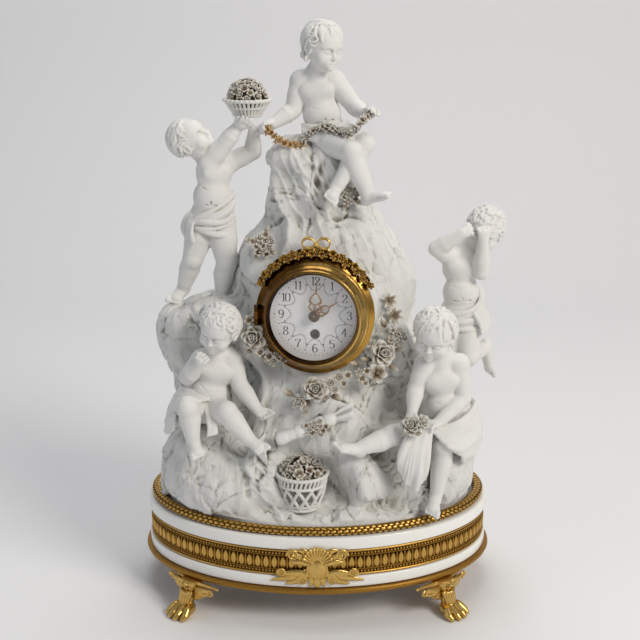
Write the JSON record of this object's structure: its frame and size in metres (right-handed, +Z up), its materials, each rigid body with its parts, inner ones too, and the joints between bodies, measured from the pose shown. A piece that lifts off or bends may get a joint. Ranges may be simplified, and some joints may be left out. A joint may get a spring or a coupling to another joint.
{
  "type": "porcelain mantel clock",
  "caption": "Figural mantel clock: biscuit porcelain children on rockwork round a gilt drum clock with an opening glazed bezel, on an oval gilt-mounted plinth with paw feet.",
  "frame": {"origin": "centre of the bounding box at the soles of the feet", "axes": "+X to the clock's right as seen from the front, -Y towards the viewer, +Z up"},
  "size_m": [0.3461, 0.24, 0.5425],
  "materials": {
    "porcelain_biscuit": "matt unglazed, with a warm tint in the hollows",
    "porcelain_glazed": "glossy white glaze",
    "gilt_bronze": "matt and burnished gilding, darkened in the hollows",
    "brass": "brushed",
    "steel": "grey",
    "white_enamel": "glossy white enamel with painted numerals and festoons",
    "clear_glass": "clear"
  },
  "bodies": {
    "clock_body": {"plinth": "porcelain_glazed", "frieze_band": "gilt_bronze", "beaded_rim": "gilt_bronze", "bottom_rim": "gilt_bronze", "front_mount": "gilt_bronze", "foot_front_left": "gilt_bronze", "foot_front_right": "gilt_bronze", "foot_rear_left": "gilt_bronze", "foot_rear_right": "gilt_bronze", "foot_nut_front_left": "steel", "foot_nut_front_right": "steel", "foot_nut_rear_left": "steel", "foot_nut_rear_right": "steel", "tie_bolt": "steel", "tie_washer": "steel", "rock_mound": "porcelain_biscuit", "putto_top": "porcelain_biscuit", "putto_left_high": "porcelain_biscuit", "putto_right_high": "porcelain_biscuit", "putto_left_low": "porcelain_biscuit", "putto_right_low": "porcelain_biscuit", "raised_basket": "porcelain_biscuit", "raised_bouquet": "porcelain_biscuit", "front_basket": "porcelain_biscuit", "front_bouquet": "porcelain_biscuit", "garland": "porcelain_biscuit", "quiver": "porcelain_biscuit", "rose_spray_left": "porcelain_biscuit", "rose_spray_right": "porcelain_biscuit", "rose_spray_centre": "porcelain_biscuit", "bezel_flange": "gilt_bronze", "bezel_hinge_pin": "gilt_bronze", "crest": "gilt_bronze", "dial": "white_enamel", "front_plate": "brass", "back_plate": "brass", "pillar_1": "brass", "pillar_2": "brass", "pillar_3": "brass", "escapement_platform": "brass", "balance_cock": "brass", "drum_case": "brass", "rear_flange": "gilt_bronze", "rear_hinge_pin": "gilt_bronze", "case_screw_upper": "steel", "case_screw_lower": "steel"},
    "bezel": {"bezel_frame": "gilt_bronze", "bezel_glass": "clear_glass"},
    "minute_train": {"minute_hand": "gilt_bronze", "hand_collet": "gilt_bronze", "cannon_pinion": "steel", "centre_wheel": "brass"},
    "hour_train": {"hour_hand": "gilt_bronze", "hour_wheel": "brass"},
    "minute_wheel": {"minute_wheel": "brass"},
    "spring_barrel": {"spring_barrel": "brass"},
    "third_wheel": {"third_wheel": "brass"},
    "winding_arbor": {"winding_arbor": "steel"},
    "balance": {"balance_wheel": "brass"},
    "rear_door": {"rear_door": "gilt_bronze"}
  },
  "joints": [
    {"name": "bezel_hinge", "type": "hinge", "parent": "clock_body", "child": "bezel", "pos_m": [-0.05528, -0.06351, 0.28642], "axis": [-0.0064, -0.0519, -0.9986], "range_deg": [0, 95]},
    {"name": "minute_spin", "type": "hinge", "parent": "clock_body", "child": "minute_train", "pos_m": [-0.002, -0.062, 0.286], "axis": [0.1217, 0.9912, -0.0523], "continuous": true},
    {"name": "hour_spin", "type": "hinge", "parent": "clock_body", "child": "hour_train", "pos_m": [-0.002, -0.062, 0.286], "axis": [0.1217, 0.9912, -0.0523], "continuous": true},
    {"name": "minute_wheel_spin", "type": "hinge", "parent": "clock_body", "child": "minute_wheel", "pos_m": [0.00838, -0.05623, 0.28563], "axis": [0.1217, 0.9912, -0.0523], "continuous": true},
    {"name": "barrel_spin", "type": "hinge", "parent": "clock_body", "child": "spring_barrel", "pos_m": [0.00032, -0.04311, 0.26698], "axis": [0.1217, 0.9912, -0.0523], "continuous": true},
    {"name": "third_spin", "type": "hinge", "parent": "clock_body", "child": "third_wheel", "pos_m": [-0.00933, -0.04046, 0.29484], "axis": [0.1217, 0.9912, -0.0523], "continuous": true},
    {"name": "winding_spin", "type": "hinge", "parent": "clock_body", "child": "winding_arbor", "pos_m": [0.00032, -0.04311, 0.26698], "axis": [0.1217, 0.9912, -0.0523], "continuous": true},
    {"name": "balance_swing", "type": "hinge", "parent": "clock_body", "child": "balance", "pos_m": [0.00321, -0.01959, 0.29878], "axis": [0.1217, 0.9912, -0.0523], "range_deg": [-270, 270], "stiffness_Nm_per_rad": 0.00002},
    {"name": "rear_door_hinge", "type": "hinge", "parent": "clock_body", "child": "rear_door", "pos_m": [0.05414, 0.06291, 0.27914], "axis": [-0.0064, -0.0519, -0.9986], "range_deg": [0, 100]}
  ],
  "couplings": [
    {"joint": "hour_spin", "follows": "minute_spin", "ratio": 0.083333},
    {"joint": "minute_wheel_spin", "follows": "minute_spin", "ratio": -0.33333},
    {"joint": "barrel_spin", "follows": "minute_spin", "ratio": -0.16667},
    {"joint": "third_spin", "follows": "minute_spin", "ratio": -6}
  ]
}
